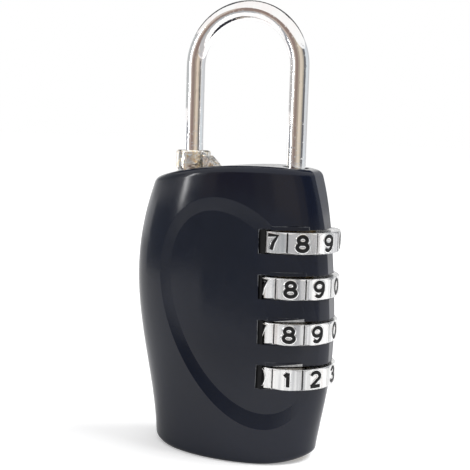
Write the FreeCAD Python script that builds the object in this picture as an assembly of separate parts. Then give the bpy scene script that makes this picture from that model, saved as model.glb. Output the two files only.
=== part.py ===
import FreeCAD, Part

import math
import os

Vector = FreeCAD.Vector

# Combination padlock, in millimetres. z = 0 is the flat underside, x = 0 lies midway between the
# shackle's two legs, y = 0 is the middle of the thickness. The digits read from the front, which is -Y.

# Body, from the flat underside to the crown of the top
BODY_HEIGHT = 61.0

# Shackle: its arch springs above the crown of the body, and its toe ends below it
ROD_RADIUS = 2.0
LEG_SPACING = 23.1
ARCH_RISE = 20.0
TOE_DEPTH = 6.0
ROD_END_CHAMFER = 0.4

# Dials, stacked on the long leg between the room left above them and the room left below
DIAL_COUNT = 4
ROOM_ABOVE_DIALS = 10.265
ROOM_BELOW_DIALS = 14.055
WHEEL_RADIUS = 9.96
WHEEL_FLAT_APOTHEM = 9.64
WHEEL_HEIGHT = 4.25
WHEEL_RIM_BEVEL = 0.3
DIGITS_PER_WHEEL = 10
WHEEL_GROOVE_WIDTH = 0.42
WHEEL_GROOVE_DEPTH = 0.4
TOP_WHEEL_TURN = 12.0

# Serrations that lock each wheel to its cam
SERRATION_COUNT = 30
SERRATION_TIP_RADIUS = 4.6
SERRATION_ROOT_RADIUS = 4.2
SERRATION_CLEARANCE = 0.07

# Code cams and the grooves of the long leg
CAM_GAP = 0.12
CAM_BORE_RADIUS = 2.1
CAM_COUNTERBORE_RADIUS = 3.6
CAM_FLANGE_DROP = 1.6
CAM_TOOTH_TIP_RADIUS = 1.42
CAM_TOOTH_WIDTH = 1.1
CAM_TOOTH_HEIGHT = 1.4
GROOVE_CORE_RADIUS = 1.2
GROOVE_HEIGHT = 2.3
KEYWAY_WIDTH = 1.5
KEYWAY_FLOOR = 1.3

# Bores in the body round the long leg
CAM_CHAMBER_CLEARANCE = 0.1
LEG_HOLE_RADIUS = 2.1
LEG_HOLE_MOUTH_RADIUS = 2.8
LEG_HOLE_MOUTH_DEPTH = 1.3
SLOT_RADIUS = 10.3
SLOT_HEIGHT = 4.85

# Thrust washers at both ends of the stack of cams
WASHER_THICKNESS = 0.28
WASHER_PLAY = 0.06
WASHER_RADIUS = 4.5
LOWER_WASHER_BORE_RADIUS = 3.7

# Retaining clip and spring at the foot of the long leg, below its lowest groove
CLIP_SHOULDER = 0.62
CLIP_THICKNESS = 0.6
CLIP_RADIUS = 3.3
CLIP_NECK_RADIUS = 1.4
CLIP_FIT = 0.05
CLIP_MOUTH_WIDTH = 2.2
LEG_TAIL = 1.3
SPRING_WIRE_RADIUS = 0.2
SPRING_WIRE_SIDES = 6
SPRING_RADIUS = 2.6
SPRING_TURNS = 5
SPRING_END_GAP = 0.05

# Plug that closes the bore from below, and its pin
PLUG_RADIUS = 4.65
PLUG_BOTTOM = 1.2
PLUG_FLOOR_THICKNESS = 1.9
PLUG_BORE_RADIUS = 3.7
PIN_RADIUS = 0.6
PIN_HEIGHT = 2.15
PIN_OFFSET = 4.5
PIN_FRONT = -3.5
PIN_BACK = 8.3

# Collar that takes the toe of the short leg, set against the crown of the body
COLLAR_RADIUS = 3.7
COLLAR_RISE = 2.5
COLLAR_ROOT_DEPTH = 5.0
COLLAR_STEM_RADIUS = 3.0
COLLAR_STEM_DEPTH = 7.4
COLLAR_BORE_RADIUS = 2.2
COLLAR_BORE_DEPTH = 6.3
COLLAR_FOOT_REACH = 5.8
COLLAR_FOOT_RISE = 1.4
COLLAR_FOOT_WIDTH = 4.0
COLLAR_RIM_CHAMFER = 0.35
PRESS_CLEARANCE = 0.02

# Bow springs that give each dial its clicks
BOW_THICKNESS = 0.3
BOW_WIDTH = 3.6
BOW_HALF_LENGTH = 4.9
BOW_RISE = 2.07
BOW_WHEEL_GAP = 0.14
BOW_RECESS_CLEARANCE = 0.25

# Sections of the body: reach to the left, reach to the right and half thickness of each, and its
# height as a share of the body's
BODY_SECTIONS = [
    (18.14, 17.76, 10.4),
    (19.64, 19.71, 10.9),
    (22.1, 20.95, 11.1),
    (23.46, 20.64, 11.1),
    (22.32, 19.48, 11.0),
    (17.36, 15.84, 10.2),
]
SECTION_HEIGHT_SHARES = [-0.0328, 0.1967, 0.3934, 0.5902, 0.7869, 1.0328]

# Flat strip down the right side: how far each section is trimmed there. Below zero it is left whole
SIDE_TRIMS = [-0.4, -0.1, 0.2, 0.35, 0.42, 0.45]

# Crown of the top and rise of the base towards both ends, each a little off the middle
CROWN_RADIUS = 85.0
CROWN_SHIFT = 5.5
BASE_FLAT_HALF_WIDTH = 9.0
BASE_SHIFT = -1.0
BASE_END_RADIUS = 32.0
PROFILE_HALF_WIDTH = 26.0
TOP_EDGE_RADIUS = 1.8
BASE_EDGE_RADIUS = 1.1
END_BAND = 5.0

# Sunk leaf panel on the front: an egg curve at the rim of its bevel and one at its floor. Each has the
# x of its centre, its half width, its centre's height and its half length as shares of the body's
# height, its tilt in degrees and the share by which its upper end is fuller
PANEL_DEPTH = 0.5
LEAF_RIM_X = 3.3
LEAF_RIM_HALF_WIDTH = 15.3
LEAF_RIM_SHARES = (0.5066, 0.4016)
LEAF_RIM_TILT = 21.8
LEAF_RIM_FULLNESS = 0.136
LEAF_FLOOR_X = 3.6
LEAF_FLOOR_HALF_WIDTH = 13.0
LEAF_FLOOR_SHARES = (0.5115, 0.3574)
LEAF_FLOOR_TILT = 25.8
LEAF_FLOOR_FULLNESS = 0.071
LEAF_POINTS = 36
LEAF_OVERRUN = 0.25

# Relief in the upper edge of each slot: a flat that deepens to the right and ends in a step there
RELIEF_LEFT = 10.0
RELIEF_RIGHT = 16.7
RELIEF_DEPTH = 0.65
RELIEF_RISE = 0.65
RELIEF_OVERRUN = 6.0

# Room left round cutting tools
FAR = 40.0

LONG_LEG_X = LEG_SPACING / 2
SHORT_LEG_X = -LEG_SPACING / 2
ARCH_SPRING_HEIGHT = BODY_HEIGHT + ARCH_RISE
TOE_END_HEIGHT = BODY_HEIGHT - TOE_DEPTH
DIAL_PITCH = (BODY_HEIGHT - ROOM_ABOVE_DIALS - ROOM_BELOW_DIALS) / DIAL_COUNT


def dial_height(index):
    return BODY_HEIGHT - ROOM_ABOVE_DIALS - (index + 0.5) * DIAL_PITCH


TOP_DIAL_HEIGHT = dial_height(0)
BOTTOM_DIAL_HEIGHT = dial_height(DIAL_COUNT - 1)
LOWEST_GROOVE_HEIGHT = dial_height(DIAL_COUNT)
CLIP_TOP_HEIGHT = LOWEST_GROOVE_HEIGHT - GROOVE_HEIGHT / 2 - CLIP_SHOULDER
LEG_END_HEIGHT = CLIP_TOP_HEIGHT - LEG_TAIL
COLLAR_TOP = BODY_HEIGHT + COLLAR_RISE
COLLAR_ROOT = BODY_HEIGHT - COLLAR_ROOT_DEPTH
CAM_HALF_HEIGHT = (DIAL_PITCH - CAM_GAP) / 2
CAM_STACK_TOP = TOP_DIAL_HEIGHT + CAM_HALF_HEIGHT
CAM_STACK_BOTTOM = BOTTOM_DIAL_HEIGHT - CAM_HALF_HEIGHT
CHAMBER_TOP = CAM_STACK_TOP + WASHER_THICKNESS + WASHER_PLAY
PLUG_TOP = CAM_STACK_BOTTOM - WASHER_THICKNESS - WASHER_PLAY
PLUG_FLOOR = PLUG_BOTTOM + PLUG_FLOOR_THICKNESS


def cylinder(radius, bottom, top, x=LONG_LEG_X, y=0.0):
    return Part.makeCylinder(radius, top - bottom, Vector(x, y, bottom))


def ring(inner_radius, outer_radius, bottom, top, x=LONG_LEG_X):
    return cylinder(outer_radius, bottom, top, x).cut(cylinder(inner_radius, bottom, top, x))


def block(x_min, x_max, y_min, y_max, z_min, z_max):
    corner = Vector(x_min, y_min, z_min)
    return Part.makeBox(x_max - x_min, y_max - y_min, z_max - z_min, corner)


def prism(points, direction):
    face = Part.Face(Part.makePolygon(points + points[:1]))
    return face.extrude(direction)


def serrated_prism(clearance, bottom, top):
    step = math.pi / SERRATION_COUNT
    points = []
    for index in range(2 * SERRATION_COUNT):
        radius = SERRATION_ROOT_RADIUS if index % 2 else SERRATION_TIP_RADIUS
        radius = radius + clearance
        x = LONG_LEG_X + radius * math.cos(index * step)
        points.append(Vector(x, radius * math.sin(index * step), bottom))
    return prism(points, Vector(0, 0, top - bottom))


def body_loft(extra_depth):
    wires = []
    for share, (left, right, half_depth) in zip(SECTION_HEIGHT_SHARES, BODY_SECTIONS):
        centre = Vector((right - left) / 2, 0, share * BODY_HEIGHT)
        ellipse = Part.Ellipse(centre, (left + right) / 2, half_depth + extra_depth)
        wires.append(Part.Wire(ellipse.toShape()))
    return Part.makeLoft(wires, True)


def crown_height(x):
    run = x - CROWN_SHIFT
    return BODY_HEIGHT - CROWN_RADIUS + math.sqrt(CROWN_RADIUS ** 2 - run ** 2)


def base_height(x):
    run = max(0.0, abs(x - BASE_SHIFT) - BASE_FLAT_HALF_WIDTH)
    return BASE_END_RADIUS - math.sqrt(BASE_END_RADIUS ** 2 - run ** 2)


def side_profile():
    wide = PROFILE_HALF_WIDTH
    flat_left = BASE_SHIFT - BASE_FLAT_HALF_WIDTH
    flat_right = BASE_SHIFT + BASE_FLAT_HALF_WIDTH

    def on_base(x):
        return Vector(x, -FAR, base_height(x))

    def on_crown(x):
        return Vector(x, -FAR, crown_height(x))

    edges = [
        Part.makeLine(on_base(flat_left), on_base(flat_right)),
        Part.Arc(on_base(flat_right), on_base((flat_right + wide) / 2), on_base(wide)).toShape(),
        Part.makeLine(on_base(wide), on_crown(wide)),
        Part.Arc(on_crown(wide), on_crown(CROWN_SHIFT), on_crown(-wide)).toShape(),
        Part.makeLine(on_crown(-wide), on_base(-wide)),
        Part.Arc(on_base(-wide), on_base((flat_left - wide) / 2), on_base(flat_left)).toShape(),
    ]
    face = Part.Face(Part.Wire(edges))
    return face.extrude(Vector(0, 2 * FAR, 0))


def side_trimmer():
    points = []
    for share, section, trim in zip(SECTION_HEIGHT_SHARES, BODY_SECTIONS, SIDE_TRIMS):
        points.append(Vector(section[1] - trim, -FAR, share * BODY_HEIGHT))
    curve = Part.BSplineCurve()
    curve.interpolate(points)
    outside = Vector(FAR, 0, 0)
    low, high = points[0], points[-1]
    edges = [
        curve.toShape(),
        Part.makeLine(high, high + outside),
        Part.makeLine(high + outside, low + outside),
        Part.makeLine(low + outside, low),
    ]
    return Part.Face(Part.Wire(edges)).extrude(Vector(0, 2 * FAR, 0))


def body_blank():
    blank = body_loft(0.0).common(side_profile()).cut(side_trimmer())
    top_edges = [edge for edge in blank.Edges if edge.BoundBox.ZMin > BODY_HEIGHT - END_BAND]
    blank = blank.makeFillet(TOP_EDGE_RADIUS, top_edges)
    base_edges = []
    for edge in blank.Edges:
        box = edge.BoundBox
        runs_across = box.XLength < 0.01
        if box.ZMax < END_BAND and not runs_across:
            base_edges.append(edge)
    return blank.makeFillet(BASE_EDGE_RADIUS, base_edges)


def leaf_outline(centre_x, half_width, shares, tilt, fullness):
    centre_share, length_share = shares
    cosine = math.cos(math.radians(tilt))
    sine = math.sin(math.radians(tilt))
    outline = []
    for index in range(LEAF_POINTS):
        turn = 2 * math.pi * index / LEAF_POINTS
        across = half_width * math.cos(turn) * (1 + fullness * math.sin(turn))
        along = length_share * BODY_HEIGHT * math.sin(turn)
        x = centre_x + across * cosine - along * sine
        z = centre_share * BODY_HEIGHT + across * sine + along * cosine
        outline.append((x, z))
    return outline


def front_point(solid, x, z):
    ray = Part.makeLine(Vector(x, -FAR, z), Vector(x, 0, z))
    return Vector(x, ray.common(solid).BoundBox.YMin, z)


def closed_curve(points):
    curve = Part.BSplineCurve()
    curve.interpolate(Points=points, PeriodicFlag=True)
    return Part.Wire(curve.toShape())


def flattened(points, y):
    return [Vector(point.x, y, point.z) for point in points]


def leaf_cutter():
    surface = body_loft(0.0)
    sunk = body_loft(-PANEL_DEPTH)
    rim_outline = leaf_outline(LEAF_RIM_X, LEAF_RIM_HALF_WIDTH, LEAF_RIM_SHARES, LEAF_RIM_TILT,
                               LEAF_RIM_FULLNESS)
    floor_outline = leaf_outline(LEAF_FLOOR_X, LEAF_FLOOR_HALF_WIDTH, LEAF_FLOOR_SHARES, LEAF_FLOOR_TILT,
                                 LEAF_FLOOR_FULLNESS)
    rim = [front_point(surface, x, z) for x, z in rim_outline]
    floor = [front_point(sunk, x, z) for x, z in floor_outline]
    outer = [high + (high - low) * LEAF_OVERRUN for high, low in zip(rim, floor)]
    inner = [low + (low - high) * LEAF_OVERRUN for high, low in zip(rim, floor)]
    wires = [
        closed_curve(flattened(inner, 0.0)),
        closed_curve(inner),
        closed_curve(outer),
        closed_curve(flattened(outer, -FAR / 2)),
    ]
    return Part.makeLoft(wires, True, True).cut(sunk)


def slot_cutter(height):
    slot = cylinder(SLOT_RADIUS, height - SLOT_HEIGHT / 2, height + SLOT_HEIGHT / 2)
    recess_left = LONG_LEG_X - WHEEL_RADIUS - BOW_WHEEL_GAP - BOW_RISE - BOW_THICKNESS - BOW_RECESS_CLEARANCE
    half_length = BOW_HALF_LENGTH + BOW_RECESS_CLEARANCE
    half_width = BOW_WIDTH / 2 + BOW_RECESS_CLEARANCE
    recess = block(recess_left, LONG_LEG_X - SERRATION_TIP_RADIUS, -half_length, half_length,
                   height - half_width, height + half_width)
    return slot.fuse(recess)


def relief_cutter(body, height):
    ceiling = height + SLOT_HEIGHT / 2
    start = front_point(body, RELIEF_LEFT, ceiling)
    deep = front_point(body, RELIEF_RIGHT, ceiling) + Vector(0, RELIEF_DEPTH, 0)
    shallow = deep - Vector(0, RELIEF_DEPTH * RELIEF_OVERRUN, 0)
    high = shallow + Vector(0, 0, RELIEF_RISE * RELIEF_OVERRUN)
    corners = [start, deep, shallow, high]
    faces = []
    for left_out in corners:
        triangle = [corner for corner in corners if corner is not left_out]
        faces.append(Part.Face(Part.makePolygon(triangle + triangle[:1])))
    return Part.Solid(Part.Shell(faces))


def pin_hole(radius, back):
    start = Vector(LONG_LEG_X - PIN_OFFSET, PIN_FRONT, PIN_HEIGHT)
    return Part.makeCylinder(radius, back - PIN_FRONT, start, Vector(0, 1, 0))


def make_housing():
    housing = body_blank().cut(leaf_cutter())
    reliefs = [relief_cutter(housing, dial_height(index)) for index in range(DIAL_COUNT)]
    housing = housing.cut(reliefs)
    for index in range(DIAL_COUNT):
        housing = housing.cut(slot_cutter(dial_height(index)))
    above = BODY_HEIGHT + 1
    mouth_bottom = crown_height(LONG_LEG_X) - LEG_HOLE_MOUTH_DEPTH
    return housing.cut([
        cylinder(SERRATION_TIP_RADIUS + CAM_CHAMBER_CLEARANCE, -1, CHAMBER_TOP),
        cylinder(LEG_HOLE_RADIUS, CHAMBER_TOP - 1, above),
        cylinder(LEG_HOLE_MOUTH_RADIUS, mouth_bottom, above),
        cylinder(COLLAR_STEM_RADIUS + PRESS_CLEARANCE, BODY_HEIGHT - COLLAR_STEM_DEPTH, above, SHORT_LEG_X),
        pin_hole(PIN_RADIUS + PRESS_CLEARANCE, FAR),
    ])


def make_toe_collar():
    collar = cylinder(COLLAR_RADIUS, COLLAR_ROOT, COLLAR_TOP, SHORT_LEG_X)
    rim = [edge for edge in collar.Edges if edge.BoundBox.ZMin > COLLAR_TOP - 0.01]
    collar = collar.makeChamfer(COLLAR_RIM_CHAMFER, rim)
    side = -COLLAR_FOOT_WIDTH / 2
    toe_x = SHORT_LEG_X + COLLAR_FOOT_REACH
    foot_top = BODY_HEIGHT + COLLAR_FOOT_RISE
    foot = prism([
        Vector(SHORT_LEG_X, side, COLLAR_ROOT),
        Vector(SHORT_LEG_X, side, foot_top),
        Vector(SHORT_LEG_X + COLLAR_RADIUS, side, foot_top),
        Vector(toe_x, side, crown_height(toe_x)),
        Vector(toe_x, side, COLLAR_ROOT),
    ], Vector(0, COLLAR_FOOT_WIDTH, 0))
    collar = collar.fuse(foot).cut(body_blank())
    stem_bottom = BODY_HEIGHT - COLLAR_STEM_DEPTH
    bore_bottom = BODY_HEIGHT - COLLAR_BORE_DEPTH
    collar = collar.fuse(cylinder(COLLAR_STEM_RADIUS, stem_bottom, COLLAR_TOP - 1, SHORT_LEG_X))
    collar = collar.cut(cylinder(COLLAR_BORE_RADIUS, bore_bottom, COLLAR_TOP + 1, SHORT_LEG_X))
    return collar.removeSplitter()


def rod_blank():
    foot = Vector(LONG_LEG_X, 0, LEG_END_HEIGHT)
    right = Vector(LONG_LEG_X, 0, ARCH_SPRING_HEIGHT)
    crest = Vector(0, 0, ARCH_SPRING_HEIGHT + LEG_SPACING / 2)
    left = Vector(SHORT_LEG_X, 0, ARCH_SPRING_HEIGHT)
    toe = Vector(SHORT_LEG_X, 0, TOE_END_HEIGHT)
    arch = Part.Arc(right, crest, left).toShape()
    path = Part.Wire([Part.makeLine(foot, right), arch, Part.makeLine(left, toe)])
    section = Part.Wire(Part.makeCircle(ROD_RADIUS, foot, Vector(0, 0, 1)))
    rod = path.makePipeShell([section], True, True)
    ends = []
    for edge in rod.Edges:
        height = edge.BoundBox.ZMax
        if height < LEG_END_HEIGHT + 0.01 or (edge.BoundBox.XMax < 0 and height < TOE_END_HEIGHT + 0.01):
            ends.append(edge)
    return rod.makeChamfer(ROD_END_CHAMFER, ends)


def make_shackle():
    shackle = rod_blank()
    outside = LONG_LEG_X - 2 * ROD_RADIUS
    floor = LONG_LEG_X - KEYWAY_FLOOR
    side = KEYWAY_WIDTH / 2
    keyway = block(outside, floor, -side, side, LOWEST_GROOVE_HEIGHT, TOP_DIAL_HEIGHT)
    shackle = shackle.cut(keyway)
    for index in range(DIAL_COUNT + 1):
        bottom = dial_height(index) - GROOVE_HEIGHT / 2
        shackle = shackle.cut(ring(GROOVE_CORE_RADIUS, ROD_RADIUS + 1, bottom, bottom + GROOVE_HEIGHT))
    neck_bottom = CLIP_TOP_HEIGHT - CLIP_THICKNESS - CLIP_FIT
    return shackle.cut(ring(CLIP_NECK_RADIUS, ROD_RADIUS + 1, neck_bottom, CLIP_TOP_HEIGHT + CLIP_FIT))


def make_retaining_clip():
    bottom = CLIP_TOP_HEIGHT - CLIP_THICKNESS
    clip = ring(CLIP_NECK_RADIUS + CLIP_FIT, CLIP_RADIUS, bottom, CLIP_TOP_HEIGHT)
    mouth = block(LONG_LEG_X, LONG_LEG_X + FAR / 2, -CLIP_MOUTH_WIDTH / 2, CLIP_MOUTH_WIDTH / 2,
                  bottom - 1, CLIP_TOP_HEIGHT + 1)
    return clip.cut(mouth)


def make_shackle_spring():
    bottom = PLUG_FLOOR + SPRING_WIRE_RADIUS + SPRING_END_GAP
    top = CLIP_TOP_HEIGHT - CLIP_THICKNESS - SPRING_WIRE_RADIUS - SPRING_END_GAP
    height = top - bottom
    helix = Part.makeHelix(height / SPRING_TURNS, height, SPRING_RADIUS)
    helix.translate(Vector(LONG_LEG_X, 0, bottom))
    start = Vector(LONG_LEG_X + SPRING_RADIUS, 0, bottom)
    corners = []
    for side in range(SPRING_WIRE_SIDES):
        angle = 2 * math.pi * side / SPRING_WIRE_SIDES
        corners.append(start + Vector(math.sin(angle), 0, math.cos(angle)) * SPRING_WIRE_RADIUS)
    section = Part.makePolygon(corners + corners[:1])
    return Part.Wire(helix).makePipeShell([section], True, True)


def make_dial_wheel(index):
    middle = dial_height(index)
    bottom = middle - WHEEL_HEIGHT / 2
    top = middle + WHEEL_HEIGHT / 2
    wheel = cylinder(WHEEL_RADIUS, bottom, top)
    rims = [edge for edge in wheel.Edges if abs(edge.BoundBox.ZLength) < 0.01]
    wheel = wheel.makeChamfer(WHEEL_RIM_BEVEL, rims)
    corner_radius = WHEEL_FLAT_APOTHEM / math.cos(math.pi / DIGITS_PER_WHEEL)
    corners = []
    grooves = []
    for digit in range(DIGITS_PER_WHEEL):
        angle = 2 * math.pi * (digit + 0.5) / DIGITS_PER_WHEEL
        radial = Vector(math.cos(angle), math.sin(angle), 0)
        side = Vector(-radial.y, radial.x, 0) * (WHEEL_GROOVE_WIDTH / 2)
        axis = Vector(LONG_LEG_X, 0, bottom)
        corners.append(axis + radial * corner_radius)
        mouth = axis + radial * (WHEEL_RADIUS + WHEEL_GROOVE_DEPTH)
        root = axis + radial * (WHEEL_RADIUS - WHEEL_GROOVE_DEPTH)
        grooves.append(prism([mouth + side * 2, root, mouth - side * 2], Vector(0, 0, WHEEL_HEIGHT)))
    wheel = wheel.common(prism(corners, Vector(0, 0, WHEEL_HEIGHT)))
    wheel = wheel.cut(grooves)
    wheel = wheel.cut(serrated_prism(SERRATION_CLEARANCE, bottom - 1, top + 1))
    if index == 0:
        wheel.rotate(Vector(LONG_LEG_X, 0, 0), Vector(0, 0, 1), TOP_WHEEL_TURN)
    return wheel


def make_code_cam(index):
    middle = dial_height(index)
    bottom = middle - CAM_HALF_HEIGHT
    top = middle + CAM_HALF_HEIGHT
    cam = serrated_prism(0.0, bottom, top)
    cam = cam.cut(cylinder(CAM_BORE_RADIUS, bottom - 1, top + 1))
    cam = cam.cut(cylinder(CAM_COUNTERBORE_RADIUS, bottom - 1, middle - CAM_FLANGE_DROP))
    tooth = block(LONG_LEG_X - SERRATION_ROOT_RADIUS + 1, LONG_LEG_X - CAM_TOOTH_TIP_RADIUS,
                  -CAM_TOOTH_WIDTH / 2, CAM_TOOTH_WIDTH / 2,
                  middle - CAM_TOOTH_HEIGHT / 2, middle + CAM_TOOTH_HEIGHT / 2)
    return cam.fuse(tooth).removeSplitter()


def make_click_spring(index):
    bottom = dial_height(index) - BOW_WIDTH / 2
    crest = LONG_LEG_X - WHEEL_RADIUS - BOW_WHEEL_GAP

    def bow(offset):
        return Part.Arc(
            Vector(crest - BOW_RISE - offset, -BOW_HALF_LENGTH, bottom),
            Vector(crest - offset, 0, bottom),
            Vector(crest - BOW_RISE - offset, BOW_HALF_LENGTH, bottom)).toShape()

    front = bow(0.0)
    back = bow(BOW_THICKNESS)
    ends = []
    for vertex in (0, 1):
        ends.append(Part.makeLine(front.Vertexes[vertex].Point, back.Vertexes[vertex].Point))
    outline = Part.Wire(Part.__sortEdges__([front, ends[1], back, ends[0]]))
    return Part.Face(outline).extrude(Vector(0, 0, BOW_WIDTH))


def make_bottom_plug():
    plug = cylinder(PLUG_RADIUS, PLUG_BOTTOM, PLUG_TOP)
    plug = plug.cut(cylinder(PLUG_BORE_RADIUS, PLUG_FLOOR, PLUG_TOP + 1))
    groove_depth_radius = PIN_OFFSET - PIN_RADIUS - PRESS_CLEARANCE
    groove = ring(groove_depth_radius, PLUG_RADIUS + 1, PIN_HEIGHT - PIN_RADIUS - PRESS_CLEARANCE,
                  PIN_HEIGHT + PIN_RADIUS + PRESS_CLEARANCE)
    return plug.cut(groove)


def make_upper_thrust_washer():
    bottom = CAM_STACK_TOP + WASHER_PLAY / 2
    return ring(CAM_BORE_RADIUS, WASHER_RADIUS, bottom, bottom + WASHER_THICKNESS)


def make_lower_thrust_washer():
    bottom = PLUG_TOP + WASHER_PLAY / 2
    return ring(LOWER_WASHER_BORE_RADIUS, WASHER_RADIUS, bottom, bottom + WASHER_THICKNESS)


def build_parts():
    parts = {
        "housing": make_housing(),
        "toe_collar": make_toe_collar(),
        "shackle": make_shackle(),
        "retaining_clip": make_retaining_clip(),
        "shackle_spring": make_shackle_spring(),
        "bottom_plug": make_bottom_plug(),
        "plug_pin": pin_hole(PIN_RADIUS, PIN_BACK),
        "upper_thrust_washer": make_upper_thrust_washer(),
        "lower_thrust_washer": make_lower_thrust_washer(),
    }
    for index in range(DIAL_COUNT):
        parts["dial_wheel_%d" % (index + 1)] = make_dial_wheel(index)
        parts["code_cam_%d" % (index + 1)] = make_code_cam(index)
        parts["click_spring_%d" % (index + 1)] = make_click_spring(index)
    return parts


os.makedirs("parts", exist_ok=True)
for name, shape in build_parts().items():
    shape.exportStep("parts/" + name + ".step")
    print(name, shape.ShapeType, len(shape.Solids), shape.isValid(), round(shape.Volume, 2))
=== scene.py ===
import math

import bpy
from mathutils import Matrix, Vector
from mathutils.bvhtree import BVHTree


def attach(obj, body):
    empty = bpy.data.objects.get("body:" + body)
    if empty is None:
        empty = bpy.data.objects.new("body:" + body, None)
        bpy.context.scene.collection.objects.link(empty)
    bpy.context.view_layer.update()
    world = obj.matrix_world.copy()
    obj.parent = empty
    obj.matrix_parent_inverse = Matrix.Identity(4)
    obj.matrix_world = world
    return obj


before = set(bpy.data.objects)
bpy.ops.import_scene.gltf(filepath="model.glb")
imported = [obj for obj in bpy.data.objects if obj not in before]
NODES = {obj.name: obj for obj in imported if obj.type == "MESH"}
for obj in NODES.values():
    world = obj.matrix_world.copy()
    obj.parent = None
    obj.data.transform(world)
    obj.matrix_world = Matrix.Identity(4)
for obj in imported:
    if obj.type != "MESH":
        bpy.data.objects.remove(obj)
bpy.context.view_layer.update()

MM = 0.001

# The camera stands at the photograph's angle: it looks at the object from 22 degrees to the right of
# its front, a little downwards. Lengths are in millimetres, angles in degrees.
CAMERA_AZIMUTH = 22.0
CAMERA_DISTANCE = 189.33
CAMERA_SIDESTEP = -1.30
CAMERA_HEIGHT = 67.72
CAMERA_PITCH = 6.57
CAMERA_ROLL = -1.83
CAMERA_CLIP_START = 10.0
FOCAL_PIXELS = 900.0
PHOTO_PIXELS = 470.0
SENSOR_WIDTH = 36.0

# Dials, as in the part's source, in millimetres and degrees
DIAL_AXIS_X = 11.55
TOP_DIAL_HEIGHT = 46.15
DIAL_PITCH = 9.17
DIAL_COUNT = 4
DIAL_HEIGHTS = [TOP_DIAL_HEIGHT - DIAL_PITCH * index for index in range(DIAL_COUNT)]
DIGIT_COUNT = 10
DIGIT_STEP = 360.0 / DIGIT_COUNT
FLAT_APOTHEM = 9.64
WHEEL_HEIGHT = 4.25

# The first digit of each dial stands on the flat that is turned FIRST_FLAT_TURN degrees from the front
# towards the right, and by the wheel's own turn on top of that
FIRST_FLAT_TURN = -18.0
FIRST_DIGITS = (7, 7, 7, 0)
WHEEL_TURNS = (12.0, 0.0, 0.0, 0.0)

# Painted shade in the grooves between a wheel's flats: dark lines, in millimetres
LINE_AXIS_RADIUS = 9.62
LINE_RADIUS = 0.13
LINE_INSET = 0.12

# Digits: black ink with a thin bright outline, in millimetres
DIGIT_WIDTH = 3.15
DIGIT_HEIGHT = 3.7
DIGIT_STROKE = 0.84
INK_THICKNESS = 0.14
RIM_WIDTH = 0.2
RIM_THICKNESS = 0.04

# Strokes: angle in degrees that one step of an arc may cover, fewest steps of an arc, gap in millimetres
# under which a stroke counts as closed, and rounds of the tube's section
ARC_STEP = 12.0
FEWEST_ARC_STEPS = 6
CLOSED_GAP = 0.01
TUBE_ROUNDS = 2

# Upper edges of the slots, in millimetres. A lip carries the front's surface on down to the slot, over
# the relief there. On the two lower slots a bevel is cut into it, which deepens towards the right.
# Rays from the front find the surface just above the slot, and its lean over a short span.
SLOT_HEIGHT = 4.85
BEVELLED_SLOTS = (2, 3)
LIP_LEFT = 9.8
LIP_RIGHT = 16.68
LIP_STEPS = 14
LIP_PROUD = 0.008
LIP_DROP = 0.12
LIP_HEIGHT = 0.8
LIP_DEPTH = 0.75
LEAN_SPAN = 1.0
BEVEL_LEFT = 10.8
BEVEL_DEPTH = 0.36
BEVEL_RISE = 0.65
# Thickness of the light grey strip on each bevel, and its depth at the slot
STRIP_THICKNESS = 0.02
STRIP_ROOT = LIP_DEPTH / 4
FRONT_RAY_START = -50.0

# Painted shade at the left ends of the slots: dark sheets that reach round in front of the dials' left
# parts, where the slots' walls shade them. Turn of each sheet's right edge from the front and spread in
# degrees, and radii in millimetres
SHADE_SHEET_TURNS = (-14.5, -17.0, -13.8, -12.8)
SHADE_SHEET_SPREAD = 34.0
SHADE_SHEET_STEPS = 12
SHADE_SHEET_RADII = (9.98, 10.06)

# Painted shade on the bevel at the lower end of the leaf, which mirrors its surroundings darker there.
# Each pair is a range over which the painted shade fades: rise of the normal, height at the top, height
# at the bottom, and y at the front, all three in metres
RECESS_TILT = (-0.03, 0.06)
RECESS_TOP = (0.024, 0.034)
RECESS_BOTTOM = (0.004, 0.006)
RECESS_FRONT = (-0.007, -0.006)

# Rounded look of sharp edges: radii in metres, and samples. The lacquer is a lighter grey on an edge's
# band, where the rounded normal and the face's own are as far apart as these cosines.
CAST_EDGE = 0.00022
WHEEL_EDGE = 0.00012
EDGE_SAMPLES = 6
EDGE_BAND_COSINES = (0.72, 0.93)

# The floor: half its side in metres, its own light for the camera, and the share of that light that
# the shiny surfaces mirror
FLOOR_HALF_SIDE = 6.0
FLOOR_LIFT = 0.3
MIRRORED_SHARE = 0.1

# The world's strength as light on the object, and as the camera, mirrors and glass see it
WORLD_LIGHT = 0.8
WORLD_SEEN = 1.0

# The soft lamp, in metres and watts
LAMP_PLACE = (0.42, 0.10, 0.62)
LAMP_TARGET = (0, 0, 0.03)
LAMP_SIZE = 0.45
LAMP_POWER = 4.0

# Flat pieces in one curved card
CARD_STEPS = 24

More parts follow.
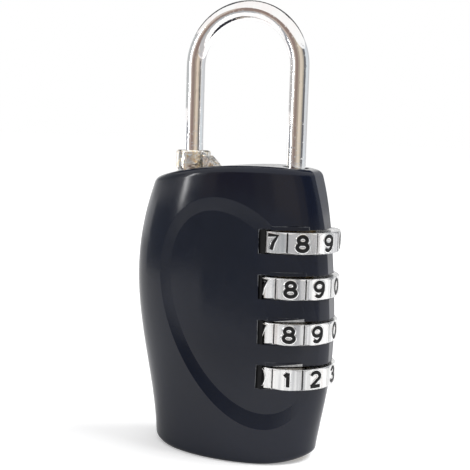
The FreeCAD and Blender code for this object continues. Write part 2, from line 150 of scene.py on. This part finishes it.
# Standing cards that only the shiny surfaces see: name, azimuth and spread in degrees, radius, bottom
# and top in metres, colour
CARDS = (
    ("far_left_bright", -109, 34, 0.28, 0.03, 0.072, (1.35, 1.36, 1.38)),
    ("far_left", -70, 44, 0.28, 0.0, 0.072, (0.34, 0.36, 0.39)),
    ("left", -40, 18, 0.28, 0.0, 0.072, (0.36, 0.38, 0.41)),
    ("front", -10, 42, 0.17, 0.0, 0.055, (0.43, 0.45, 0.47)),
    ("front_right", 47, 72, 0.15, 0.0, 0.055, (0.54, 0.54, 0.56)),
    ("streak", -52.5, 3.5, 0.17, 0.056, 0.15, (17, 17, 17)),
    ("tall_left", -95, 56, 0.17, 0.076, 0.16, (0.50, 0.52, 0.53)),
    ("tall_rise", -31, 14, 0.17, 0.055, 0.16, (0.56, 0.48, 0.43)),
    ("tall_dark", -8, 32, 0.17, 0.055, 0.16, (0.28, 0.215, 0.19)),
    ("tall_brown", 17, 18, 0.17, 0.055, 0.16, (0.40, 0.34, 0.28)),
    ("tall_beige", 41, 30, 0.17, 0.055, 0.16, (0.70, 0.61, 0.50)),
    ("tall_tan", 63, 14, 0.17, 0.055, 0.16, (0.45, 0.40, 0.33)),
    ("tall_shade", 83, 26, 0.17, 0.055, 0.16, (0.15, 0.15, 0.16)),
    ("tall_blue", 117, 42, 0.17, 0.055, 0.16, (0.66, 0.70, 0.74)),
    ("tall_end", 158, 40, 0.17, 0.055, 0.16, (0.58, 0.59, 0.61)),
    ("back_high", 202, 100, 0.35, 0.19, 0.60, (0.07, 0.07, 0.075)),
)


def camera():
    azimuth = math.radians(CAMERA_AZIMUTH)
    pitch = math.radians(CAMERA_PITCH)
    roll = math.radians(CAMERA_ROLL)
    away = Vector((math.sin(azimuth), -math.cos(azimuth), 0))
    right = Vector((math.cos(azimuth), math.sin(azimuth), 0))
    back = away * math.cos(pitch) + Vector((0, 0, math.sin(pitch)))
    up = back.cross(right)
    x_axis = right * math.cos(roll) - up * math.sin(roll)
    y_axis = right * math.sin(roll) + up * math.cos(roll)
    place = away * CAMERA_DISTANCE + right * CAMERA_SIDESTEP + Vector((0, 0, CAMERA_HEIGHT))
    data = bpy.data.cameras.new("camera")
    data.sensor_width = SENSOR_WIDTH
    data.lens = FOCAL_PIXELS * SENSOR_WIDTH / PHOTO_PIXELS
    data.clip_start = CAMERA_CLIP_START * MM
    obj = bpy.data.objects.new("camera", data)
    columns = Matrix((x_axis, y_axis, back)).transposed().to_4x4()
    obj.matrix_world = Matrix.Translation(place * MM) @ columns
    bpy.context.collection.objects.link(obj)
    bpy.context.scene.camera = obj


class Nodes:
    """A node tree with short calls for adding and joining nodes."""

    def __init__(self, tree):
        self.tree = tree
        self.tree.nodes.clear()

    def add(self, kind, **settings):
        node = self.tree.nodes.new(kind)
        for key, value in settings.items():
            setattr(node, key, value)
        return node

    def join(self, source, target):
        self.tree.links.new(source, target)

    def put(self, value, socket):
        if isinstance(value, bpy.types.NodeSocket):
            self.join(value, socket)
        else:
            socket.default_value = value

    def position(self, scale=(1, 1, 1)):
        coordinates = self.add("ShaderNodeTexCoord").outputs["Object"]
        mapping = self.add("ShaderNodeMapping")
        self.join(coordinates, mapping.inputs["Vector"])
        mapping.inputs["Scale"].default_value = scale
        return mapping.outputs["Vector"]

    def noise(self, scale, detail=4.0, roughness=0.5, vector=None, distortion=0.0):
        node = self.add("ShaderNodeTexNoise")
        self.join(vector or self.position(), node.inputs["Vector"])
        node.inputs["Scale"].default_value = scale
        node.inputs["Detail"].default_value = detail
        node.inputs["Roughness"].default_value = roughness
        node.inputs["Distortion"].default_value = distortion
        return node.outputs["Fac"]

    def ramp(self, factor, stops):
        node = self.add("ShaderNodeValToRGB")
        self.join(factor, node.inputs["Fac"])
        elements = node.color_ramp.elements
        while len(elements) < len(stops):
            elements.new(1.0)
        for element, (place, colour) in zip(elements, stops):
            element.position = place
            element.color = (*colour, 1)
        return node.outputs["Color"]

    def spread(self, factor, low, high, start=0.35, end=0.65):
        node = self.add("ShaderNodeMapRange")
        self.join(factor, node.inputs["Value"])
        node.inputs["From Min"].default_value = start
        node.inputs["From Max"].default_value = end
        node.inputs["To Min"].default_value = low
        node.inputs["To Max"].default_value = high
        return node.outputs["Result"]

    def math(self, operation, first, second):
        node = self.add("ShaderNodeMath", operation=operation)
        self.put(first, node.inputs[0])
        self.put(second, node.inputs[1])
        return node.outputs["Value"]

    def mix(self, factor, first, second):
        node = self.add("ShaderNodeMix", data_type="RGBA")
        self.put(factor, node.inputs["Factor"])
        self.put(first, node.inputs["A"])
        self.put(second, node.inputs["B"])
        return node.outputs["Result"]

    def bump(self, height, strength, distance, normal=None):
        node = self.add("ShaderNodeBump")
        node.inputs["Strength"].default_value = strength
        node.inputs["Distance"].default_value = distance
        self.join(height, node.inputs["Height"])
        if normal is not None:
            self.join(normal, node.inputs["Normal"])
        return node.outputs["Normal"]

    def rounded_edges(self, radius):
        node = self.add("ShaderNodeBevel", samples=EDGE_SAMPLES)
        node.inputs["Radius"].default_value = radius
        return node.outputs["Normal"]

    def edge_band(self, rounded):
        """One on the rounded part of sharp edges, nought on the faces beside them."""
        flat = self.add("ShaderNodeNewGeometry").outputs["True Normal"]
        alike = self.add("ShaderNodeVectorMath", operation="DOT_PRODUCT")
        self.join(rounded, alike.inputs[0])
        self.join(flat, alike.inputs[1])
        return self.spread(alike.outputs["Value"], 1, 0, *EDGE_BAND_COSINES)

    def shaded_bevel(self):
        """Mask of painted shade: one on the upward bevel at the lower end of the sunk leaf, nought
        elsewhere.
        """
        geometry = self.add("ShaderNodeNewGeometry")
        facing = self.add("ShaderNodeSeparateXYZ")
        self.join(geometry.outputs["Normal"], facing.inputs[0])
        place = self.add("ShaderNodeSeparateXYZ")
        self.join(geometry.outputs["Position"], place.inputs[0])
        upward = self.spread(facing.outputs["Z"], 0, 1, *RECESS_TILT)
        below_top = self.spread(place.outputs["Z"], 1, 0, *RECESS_TOP)
        above_bottom = self.spread(place.outputs["Z"], 0, 1, *RECESS_BOTTOM)
        front = self.spread(place.outputs["Y"], 1, 0, *RECESS_FRONT)
        inside = self.math("MULTIPLY", self.math("MULTIPLY", below_top, above_bottom), front)
        return self.math("MULTIPLY", upward, inside)

    def surface(self, **inputs):
        shader = self.add("ShaderNodeBsdfPrincipled")
        for key, value in inputs.items():
            self.put(value, shader.inputs[key.replace("_", " ")])
        output = self.add("ShaderNodeOutputMaterial")
        self.join(shader.outputs["BSDF"], output.inputs["Surface"])


def material(name):
    made = bpy.data.materials.new(name)
    made.use_nodes = True
    return made, Nodes(made.node_tree)


def black_lacquer():
    made, n = material("black_lacquer")
    cloud = n.noise(60, detail=3)
    colour = n.ramp(cloud, (
        (0.3, (0.0024, 0.0042, 0.0120)),
        (0.7, (0.0038, 0.0062, 0.0160)),
    ))
    speck = n.spread(n.noise(2600, detail=2, roughness=0.6), 0, 0.3, start=0.68, end=0.76)
    colour = n.mix(speck, colour, (0.022, 0.024, 0.028, 1))
    sheen = n.spread(n.noise(140, detail=5, roughness=0.6), 0.13, 0.20)
    upright = n.position((1, 1, 0.06))
    scratch = n.noise(900, detail=3, roughness=0.7, vector=upright, distortion=0.4)
    sheen = n.math("ADD", sheen, n.spread(scratch, 0, 0.05, start=0.6, end=0.7))
    edge = n.rounded_edges(CAST_EDGE)
    # A lighter grey, in patches, on the rounded part of sharp edges
    patch = n.spread(n.noise(330, detail=3, roughness=0.6), 0, 1, start=0.44, end=0.56)
    lighter_edges = n.math("MULTIPLY", n.edge_band(edge), patch)
    colour = n.mix(lighter_edges, colour, (0.32, 0.33, 0.34, 1))
    # Painted shade: the upward bevel at the lower end of the leaf mirrors a darker tint
    tint = n.mix(n.shaded_bevel(), (1, 1, 1, 1), (0.42, 0.42, 0.40, 1))
    grain = n.noise(1500, detail=3, roughness=0.6)
    normal = n.bump(grain, strength=0.14, distance=0.00003, normal=edge)
    normal = n.bump(n.noise(240, detail=2), strength=0.04, distance=0.0001, normal=normal)
    n.surface(Base_Color=colour, Roughness=sheen, IOR=1.42, Specular_Tint=tint, Normal=normal)
    return made


def polished_chrome():
    made, n = material("polished_chrome")
    along = n.position((1, 1, 0.12))
    tint = n.noise(210, detail=4, roughness=0.6, vector=along)
    colour = n.ramp(tint, (
        (0.30, (0.90, 0.90, 0.92)),
        (0.46, (0.98, 0.98, 0.97)),
        (0.58, (0.96, 0.92, 0.91)),
        (0.70, (0.95, 0.94, 0.87)),
    ))
    sheen = n.spread(n.noise(500, detail=4, roughness=0.6, vector=along), 0.04, 0.10)
    draw = n.noise(420, detail=3, roughness=0.6, vector=along)
    normal = n.bump(draw, strength=0.2, distance=0.0001)
    pit = n.spread(n.noise(1500, detail=2, roughness=0.5), 0, 1, start=0.60, end=0.70)
    normal = n.bump(pit, strength=0.2, distance=0.00006, normal=normal)
    n.surface(Base_Color=colour, Metallic=1.0, Roughness=sheen, Normal=normal)
    return made


def warm_plating():
    made, n = material("warm_plating")
    patch = n.noise(1150, detail=4, roughness=0.7, distortion=0.8)
    # Painted reflections: dark brown, white, gold and pink patches in the chrome's colour stand in for
    # the room mirrored in the collar
    colour = n.ramp(patch, (
        (0.37, (0.34, 0.27, 0.22)),
        (0.43, (0.94, 0.92, 0.88)),
        (0.51, (0.98, 0.97, 0.94)),
        (0.56, (0.94, 0.82, 0.50)),
        (0.61, (0.70, 0.46, 0.36)),
        (0.66, (0.97, 0.95, 0.92)),
    ))
    sheen = n.spread(n.noise(900, detail=4, roughness=0.6), 0.05, 0.18)
    dimple = n.noise(620, detail=3, roughness=0.6)
    normal = n.bump(dimple, strength=0.6, distance=0.0003, normal=n.rounded_edges(CAST_EDGE))
    n.surface(Base_Color=colour, Metallic=1.0, Roughness=sheen, Normal=normal)
    return made


def dial_chrome():
    made, n = material("dial_chrome")
    across = n.position((1, 1, 0.05))
    brush = n.noise(1500, detail=3, roughness=0.6, vector=across)
    band = n.noise(260, detail=3, roughness=0.6, vector=across)
    colour = n.ramp(band, (
        (0.36, (0.46, 0.46, 0.47)),
        (0.46, (0.76, 0.76, 0.75)),
        (0.56, (0.84, 0.83, 0.82)),
        (0.66, (0.58, 0.52, 0.49)),
    ))
    sheen = n.spread(brush, 0.16, 0.32)
    normal = n.bump(brush, strength=0.22, distance=0.00006, normal=n.rounded_edges(WHEEL_EDGE))
    n.surface(Base_Color=colour, Metallic=1.0, Roughness=sheen, Normal=normal)
    return made


def rim_chrome():
    made, n = material("rim_chrome")
    colour = n.ramp(n.noise(900, detail=2), (
        (0.35, (0.92, 0.92, 0.92)),
        (0.65, (0.97, 0.97, 0.96)),
    ))
    sheen = n.spread(n.noise(1600, detail=2), 0.10, 0.2)
    normal = n.bump(n.noise(2400, detail=2), strength=0.1, distance=0.00003)
    n.surface(Base_Color=colour, Metallic=1.0, Roughness=sheen, Normal=normal)
    return made


# Black ink of the digits, also the dark lines of painted shade in the grooves between the flats
def ink_and_groove_shade():
    made, n = material("ink_and_groove_shade")
    colour = n.ramp(n.noise(1400, detail=3), (
        (0.35, (0.004, 0.004, 0.004)),
        (0.7, (0.010, 0.010, 0.011)),
    ))
    sheen = n.spread(n.noise(2000, detail=2), 0.38, 0.6)
    normal = n.bump(n.noise(2600, detail=2), strength=0.25, distance=0.00004)
    n.surface(Base_Color=colour, Roughness=sheen, Specular_IOR_Level=0.25, Normal=normal)
    return made


def brass():
    made, n = material("cam_brass")
    colour = n.ramp(n.noise(500, detail=4, roughness=0.6), (
        (0.3, (0.62, 0.44, 0.20)),
        (0.55, (0.80, 0.60, 0.28)),
        (0.75, (0.70, 0.50, 0.26)),
    ))
    turned = n.noise(1800, detail=3, roughness=0.6, vector=n.position((0.1, 0.1, 1)))
    sheen = n.spread(turned, 0.22, 0.4)
    normal = n.bump(turned, strength=0.2, distance=0.00005)
    n.surface(Base_Color=colour, Metallic=1.0, Roughness=sheen, Normal=normal)
    return made


def spring_steel():
    made, n = material("spring_steel")
    colour = n.ramp(n.noise(600, detail=4, roughness=0.6), (
        (0.3, (0.34, 0.34, 0.36)),
        (0.6, (0.55, 0.54, 0.53)),
        (0.8, (0.46, 0.42, 0.38)),
    ))
    sheen = n.spread(n.noise(1500, detail=3), 0.22, 0.42)
    normal = n.bump(n.noise(1900, detail=3), strength=0.2, distance=0.00004)
    n.surface(Base_Color=colour, Metallic=1.0, Roughness=sheen, Normal=normal)
    return made


# Dull black of the sheets of painted shade at the slots' left ends
def slot_shade_black():
    made, n = material("slot_shade_black")
    colour = n.ramp(n.noise(900, detail=3), (
        (0.35, (0.0026, 0.0026, 0.0032)),
        (0.7, (0.0060, 0.0060, 0.0070)),
    ))
    sheen = n.spread(n.noise(1500, detail=2), 0.45, 0.65)
    normal = n.bump(n.noise(1800, detail=3), strength=0.3, distance=0.00004)
    n.surface(Base_Color=colour, Roughness=sheen, Specular_IOR_Level=0.2, Normal=normal)
    return made


# Light grey metal, for thin strips on the bevels above the two lower slots
def light_grey_metal():
    made, n = material("light_grey_metal")
    colour = n.ramp(n.noise(1200, detail=4, roughness=0.6), (
        (0.35, (0.40, 0.41, 0.42)),
        (0.55, (0.66, 0.66, 0.67)),
        (0.68, (0.52, 0.53, 0.54)),
    ))
    sheen = n.spread(n.noise(1900, detail=3), 0.2, 0.4)
    normal = n.bump(n.noise(2100, detail=3), strength=0.25, distance=0.00005)
    n.surface(Base_Color=colour, Metallic=1.0, Roughness=sheen, Normal=normal)
    return made


def dress_nodes():
    lacquer = black_lacquer()
    chrome = polished_chrome()
    plating = warm_plating()
    wheel = dial_chrome()
    yellow = brass()
    steel = spring_steel()
    by_name = {"housing": lacquer, "shackle": chrome, "toe_collar": plating, "bottom_plug": yellow}
    by_start = {"dial_wheel": wheel, "code_cam": yellow}
    for name, obj in NODES.items():
        chosen = by_name.get(name, steel)
        for start, made in by_start.items():
            if name.startswith(start):
                chosen = made
        obj.data.materials.clear()
        obj.data.materials.append(chosen)


def arc(x, y, radius_x, radius_y, start, end):
    """Points of an arc from its centre, its radii, and its start and end in degrees."""
    steps = max(FEWEST_ARC_STEPS, int(abs(end - start) / ARC_STEP))
    points = []
    for index in range(steps + 1):
        angle = math.radians(start + (end - start) * index / steps)
        points.append((x + radius_x * math.cos(angle), y + radius_y * math.sin(angle)))
    return points


# Strokes of the digits from 0 to 9, in a square from -1 to 1
DIGIT_STROKES = (
    [arc(0, 0, 0.92, 1, 0, 360)],
    [[(0.12, -1), (0.12, 1)], [(0.12, 0.95), (-0.5, 0.5)]],
    [arc(0, 0.4, 0.9, 0.6, 165, -30) + [(-0.9, -1)], [(-0.95, -1), (0.95, -1)]],
    [arc(-0.05, 0.5, 0.8, 0.5, 160, -90), arc(-0.05, -0.48, 0.95, 0.52, 90, -160)],
    [[(0.4, -1), (0.4, 1), (-0.95, -0.42), (0.98, -0.42)]],
    [[(0.8, 1), (-0.6, 1), (-0.78, 0.02)], arc(0, -0.35, 0.92, 0.65, 145, -155)],
    [arc(0, -0.4, 0.9, 0.6, 0, 360), arc(0.05, -0.1, 0.95, 1.1, 190, 50)],
    [[(-0.9, 1), (0.92, 1), (0.1, 0.0), (-0.25, -1)]],
    [arc(0, 0.5, 0.74, 0.5, 0, 360), arc(0, -0.48, 0.92, 0.52, 0, 360)],
    [arc(0, 0.4, 0.9, 0.6, 0, 360), arc(-0.05, 0.1, 0.95, 1.1, 10, -130)],
)


def tube_mesh(name, strokes, radius):
    """Tubes of the radius in millimetres along strokes of flat points in millimetres."""
    data = bpy.data.curves.new(name, "CURVE")
    data.dimensions = "3D"
    data.bevel_depth = radius
    data.bevel_resolution = TUBE_ROUNDS
    data.use_fill_caps = True
    for points in strokes:
        closed = math.dist(points[0], points[-1]) < CLOSED_GAP
        if closed:
            points = points[:-1]
        spline = data.splines.new("POLY")
        spline.points.add(len(points) - 1)
        spline.use_cyclic_u = closed
        for place, (x, y) in zip(spline.points, points):
            place.co = (x, y, 0, 1)
    holder = bpy.data.objects.new(name, data)
    mesh = bpy.data.meshes.new_from_object(holder)
    bpy.data.objects.remove(holder)
    return mesh


def digit_mesh(digit, radius):
    half_width = (DIGIT_WIDTH - DIGIT_STROKE) / 2
    half_height = (DIGIT_HEIGHT - DIGIT_STROKE) / 2
    strokes = []
    for points in DIGIT_STROKES[digit]:
        strokes.append([(x * half_width, y * half_height) for x, y in points])
    return tube_mesh("digit", strokes, radius)


def gather(name, parts, made, body, smooth=True):
    """One object from meshes, each with the matrix that puts it in place, in millimetres."""
    vertices = []
    faces = []
    for mesh, matrix in parts:
        first = len(vertices)
        vertices.extend((matrix @ vertex.co) * MM for vertex in mesh.vertices)
        faces.extend([first + index for index in polygon.vertices] for polygon in mesh.polygons)
    data = bpy.data.meshes.new(name)
    data.from_pydata([tuple(vertex) for vertex in vertices], [], faces)
    for polygon in data.polygons:
        polygon.use_smooth = smooth
    data.materials.append(made)
    obj = bpy.data.objects.new(name, data)
    bpy.context.collection.objects.link(obj)
    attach(obj, body)


def flat_matrix(turn, radius, height, thickness_scale):
    """From a drawing's plane to the flat that faces the turn, in degrees from the front to the right."""
    angle = math.radians(turn)
    outward = Vector((math.sin(angle), -math.cos(angle), 0))
    right = Vector((math.cos(angle), math.sin(angle), 0))
    up = Vector((0, 0, 1))
    columns = Matrix((right, up, outward * thickness_scale)).transposed().to_4x4()
    place = Vector((DIAL_AXIS_X, 0, height)) + outward * radius
    return Matrix.Translation(place) @ columns


def dress_dials():
    ink = ink_and_groove_shade()
    bright = rim_chrome()
    ink_radius = DIGIT_STROKE / 2
    rim_radius = ink_radius + RIM_WIDTH
    inks = [digit_mesh(digit, ink_radius) for digit in range(DIGIT_COUNT)]
    rims = [digit_mesh(digit, rim_radius) for digit in range(DIGIT_COUNT)]
    line_end = WHEEL_HEIGHT / 2 - LINE_INSET
    line = tube_mesh("line", [[(0, -line_end), (0, line_end)]], LINE_RADIUS)
    for index, height in enumerate(DIAL_HEIGHTS):
        body = "dial_%d" % (index + 1)
        digit_parts = []
        rim_parts = []
        groove_shade_parts = []
        for step in range(DIGIT_COUNT):
            digit = (FIRST_DIGITS[index] + step) % DIGIT_COUNT
            turn = FIRST_FLAT_TURN + WHEEL_TURNS[index] + step * DIGIT_STEP
            ink_flat = flat_matrix(turn, FLAT_APOTHEM, height, INK_THICKNESS / ink_radius)
            rim_flat = flat_matrix(turn, FLAT_APOTHEM, height, RIM_THICKNESS / rim_radius)
            digit_parts.append((inks[digit], ink_flat))
            rim_parts.append((rims[digit], rim_flat))
            groove = flat_matrix(turn + DIGIT_STEP / 2, LINE_AXIS_RADIUS, height, thickness_scale=1.0)
            groove_shade_parts.append((line, groove))
        gather("%s_digits" % body, digit_parts, ink, body)
        gather("%s_digit_rims" % body, rim_parts, bright, body)
        # Dark lines in the grooves, in the digits' black ink: painted shade
        gather("%s_groove_shade_lines" % body, groove_shade_parts, ink, body)


def front_finder():
    """A function that gives the y of the housing's front at x and z, in millimetres."""
    mesh = NODES["housing"].data
    points = [vertex.co for vertex in mesh.vertices]
    tree = BVHTree.FromPolygons(points, [tuple(polygon.vertices) for polygon in mesh.polygons])

    def front(x, z):
        hit = tree.ray_cast(Vector((x, FRONT_RAY_START, z)) * MM, Vector((0, 1, 0)))
        return hit[0].y / MM

    return front


def strip_mesh(name, sections):
    """A closed strip through sections of equally many points (x, y, z), in millimetres."""
    count = len(sections[0])
    vertices = [point for section in sections for point in section]
    faces = [list(range(count))[::-1]]
    faces.append([(len(sections) - 1) * count + index for index in range(count)])
    for row in range(len(sections) - 1):
        for index in range(count):
            first = row * count + index
            second = row * count + (index + 1) % count
            faces.append([first, second, second + count, first + count])
    data = bpy.data.meshes.new(name)
    data.from_pydata(vertices, [], faces)
    return data


def edge_sections(front, ceiling, bevelled):
    """Sections of a slot's lip and of the light grey strip on its bevel from left to right, in
    millimetres.
    """
    lips = []
    bevels = []
    for step in range(LIP_STEPS + 1):
        x = LIP_LEFT + (LIP_RIGHT - LIP_LEFT) * step / LIP_STEPS
        near = front(x, ceiling + LEAN_SPAN)
        lean = (front(x, ceiling + 2 * LEAN_SPAN) - near) / LEAN_SPAN
        low = near - lean * LEAN_SPAN - LIP_PROUD
        share = max(0.0, (x - BEVEL_LEFT) / (LIP_RIGHT - BEVEL_LEFT)) if bevelled else 0.0
        cut = BEVEL_DEPTH * share
        rise = BEVEL_RISE * share
        edge = low + lean * rise
        lips.append([
            (x, low + cut, ceiling),
            (x, edge, ceiling + rise),
            (x, low + lean * LIP_HEIGHT, ceiling + LIP_HEIGHT),
            (x, low + LIP_DEPTH, ceiling + LIP_HEIGHT),
            (x, low + LIP_DEPTH, ceiling),
        ])
        if share > 0:
            bevels.append([
                (x, low + cut, ceiling - STRIP_THICKNESS / 2),
                (x, low + cut - STRIP_THICKNESS, ceiling),
                (x, edge - STRIP_THICKNESS, ceiling + rise),
                (x, edge + STRIP_THICKNESS, ceiling + rise + STRIP_THICKNESS),
                (x, low + cut + STRIP_ROOT, ceiling),
            ])
    return lips, bevels


def shade_sheet_sections(first_turn, low, high):
    """Sections of the dark sheet at a slot's left end, which reaches round in front of the dial as
    painted shade.
    """
    inner, outer = SHADE_SHEET_RADII
    sections = []
    for step in range(SHADE_SHEET_STEPS + 1):
        angle = math.radians(first_turn - SHADE_SHEET_SPREAD * step / SHADE_SHEET_STEPS)
        section = []
        for radius, z in ((inner, low), (outer, low), (outer, high), (inner, high)):
            section.append((DIAL_AXIS_X + radius * math.sin(angle), -radius * math.cos(angle), z))
        sections.append(section)
    return sections


def slot_piece(name, sections, made):
    gather(name, [(strip_mesh(name, sections), Matrix())], made, "housing", smooth=False)


def dress_slots():
    """Lips on the slots' upper edges, light grey strips on two bevels, and sheets of painted shade at
    the ends.
    """
    front = front_finder()
    lacquer = NODES["housing"].data.materials[0]
    slot_shade = slot_shade_black()
    light_strip = light_grey_metal()
    for index, height in enumerate(DIAL_HEIGHTS):
        number = index + 1
        floor_height = height - SLOT_HEIGHT / 2
        ceiling_height = height + SLOT_HEIGHT / 2
        bevelled = index in BEVELLED_SLOTS
        lips, bevels = edge_sections(front, ceiling_height - LIP_DROP, bevelled)
        slot_piece("slot_lip_%d" % number, lips, lacquer)
        if bevelled:
            slot_piece("slot_bevel_%d" % number, bevels, light_strip)
        # A dark sheet over the dial's left part: painted shade where the slot's end shades the wheel
        shade_sheets = shade_sheet_sections(SHADE_SHEET_TURNS[index], floor_height, ceiling_height)
        slot_piece("slot_shade_sheet_%d" % number, shade_sheets, slot_shade)


def glossy_only(obj):
    obj.visible_camera = False
    obj.visible_diffuse = False
    obj.visible_shadow = False
    obj.visible_transmission = False


def glow(name, colour):
    made, n = material(name)
    shader = n.add("ShaderNodeEmission")
    shader.inputs["Color"].default_value = (*colour, 1)
    output = n.add("ShaderNodeOutputMaterial")
    n.join(shader.outputs["Emission"], output.inputs["Surface"])
    return made


def curved_card(name, azimuth, spread, radius, bottom, top, made):
    """A standing card on a circle round the object, seen only in reflections. Metres and degrees."""
    vertices = []
    faces = []
    for index in range(CARD_STEPS + 1):
        angle = math.radians(azimuth + spread * (index / CARD_STEPS - 0.5))
        x = radius * math.sin(angle)
        y = -radius * math.cos(angle)
        vertices.append((x, y, bottom))
        vertices.append((x, y, top))
        if index:
            first = 2 * index
            faces.append((first - 2, first, first + 1, first - 1))
    data = bpy.data.meshes.new(name)
    data.from_pydata(vertices, [], faces)
    data.materials.append(made)
    obj = bpy.data.objects.new(name, data)
    bpy.context.collection.objects.link(obj)
    glossy_only(obj)


def floor():
    side = FLOOR_HALF_SIDE
    data = bpy.data.meshes.new("floor")
    corners = [(-side, -side, 0), (side, -side, 0), (side, side, 0), (-side, side, 0)]
    data.from_pydata(corners, [], [(0, 1, 2, 3)])
    made, n = material("floor_paper")
    path = n.add("ShaderNodeLightPath")
    mirrored = n.math("MULTIPLY", path.outputs["Is Glossy Ray"], MIRRORED_SHARE)
    seen = n.math("MAXIMUM", path.outputs["Is Camera Ray"], mirrored)
    paper = n.add("ShaderNodeBsdfDiffuse")
    tone = n.ramp(n.noise(6, detail=3), (
        (0.3, (0.86, 0.86, 0.87)),
        (0.7, (0.90, 0.90, 0.90)),
    ))
    n.join(tone, paper.inputs["Color"])
    lift = n.add("ShaderNodeEmission")
    n.join(n.math("MULTIPLY", seen, FLOOR_LIFT), lift.inputs["Strength"])
    total = n.add("ShaderNodeAddShader")
    n.join(paper.outputs["BSDF"], total.inputs[0])
    n.join(lift.outputs["Emission"], total.inputs[1])
    output = n.add("ShaderNodeOutputMaterial")
    n.join(total.outputs["Shader"], output.inputs["Surface"])
    data.materials.append(made)
    obj = bpy.data.objects.new("floor", data)
    bpy.context.collection.objects.link(obj)


def lamp():
    """A large soft lamp. Its own image is kept out of the shiny surfaces, which mirror the cards."""
    data = bpy.data.lights.new("key", "AREA")
    data.shape = "DISK"
    data.size = LAMP_SIZE
    data.energy = LAMP_POWER
    obj = bpy.data.objects.new("key", data)
    obj.location = LAMP_PLACE
    direction = Vector(LAMP_TARGET) - Vector(LAMP_PLACE)
    obj.rotation_euler = direction.to_track_quat("-Z", "Y").to_euler()
    obj.visible_glossy = False
    bpy.context.collection.objects.link(obj)


def studio():
    world = bpy.data.worlds.new("studio")
    bpy.context.scene.world = world
    world.use_nodes = True
    n = Nodes(world.node_tree)
    path = n.add("ShaderNodeLightPath")
    seen = n.math("MAXIMUM", path.outputs["Is Camera Ray"], path.outputs["Is Glossy Ray"])
    seen = n.math("MAXIMUM", seen, path.outputs["Is Transmission Ray"])
    node = n.add("ShaderNodeMapRange")
    n.join(seen, node.inputs["Value"])
    node.inputs["To Min"].default_value = WORLD_LIGHT
    node.inputs["To Max"].default_value = WORLD_SEEN
    background = n.add("ShaderNodeBackground")
    background.inputs["Color"].default_value = (1, 1, 1, 1)
    n.join(node.outputs["Result"], background.inputs["Strength"])
    output = n.add("ShaderNodeOutputWorld")
    n.join(background.outputs["Background"], output.inputs["Surface"])

    lamp()
    for name, azimuth, spread, radius, bottom, top, tone in CARDS:
        curved_card(name, azimuth, spread, radius, bottom, top, glow(name + "_tone", tone))


camera()
floor()
studio()
dress_nodes()
dress_dials()
dress_slots()

bpy.context.scene.view_settings.view_transform = "Standard"
